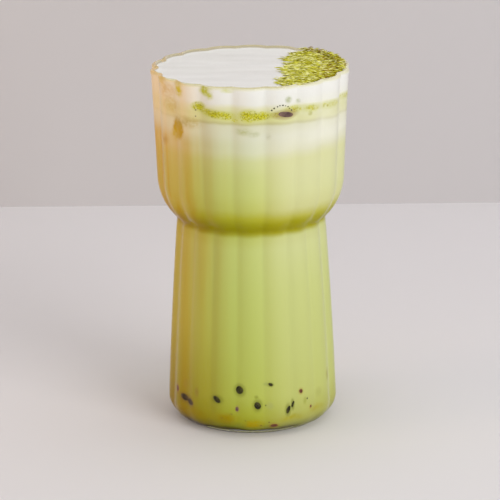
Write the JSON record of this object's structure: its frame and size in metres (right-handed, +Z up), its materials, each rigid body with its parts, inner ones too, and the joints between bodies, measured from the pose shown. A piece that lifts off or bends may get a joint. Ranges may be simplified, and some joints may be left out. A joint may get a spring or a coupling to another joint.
{
  "type": "glass of matcha milk tea",
  "caption": "Waisted, fluted clear drinking glass with a scalloped rim, filled with matcha milk tea in soft layers under a cap of milk foam.",
  "frame": {"origin": "centre of the round foot, on the surface that the glass stands on", "axes": "+Z up the axis of the glass; -Y is the shown front, with the crest of one flute; +X is to its right"},
  "size_m": [0.0812, 0.082, 0.15],
  "materials": {
    "glass": "clear, thin, fire-polished, vertically fluted",
    "milk_tea": "stands in for opaque green milk tea, wet against the wall",
    "milk_layer": "stands in for pale milk that fades into the tea",
    "matcha_layer": "stands in for a yellow-green band of matcha",
    "milk_foam": "stands in for dense off-white milk foam"
  },
  "bodies": {
    "root": {"glass": "glass", "milk_tea": "milk_tea", "milk_layer": "milk_layer", "matcha_layer": "matcha_layer", "milk_foam": "milk_foam"}
  },
  "joints": []
}
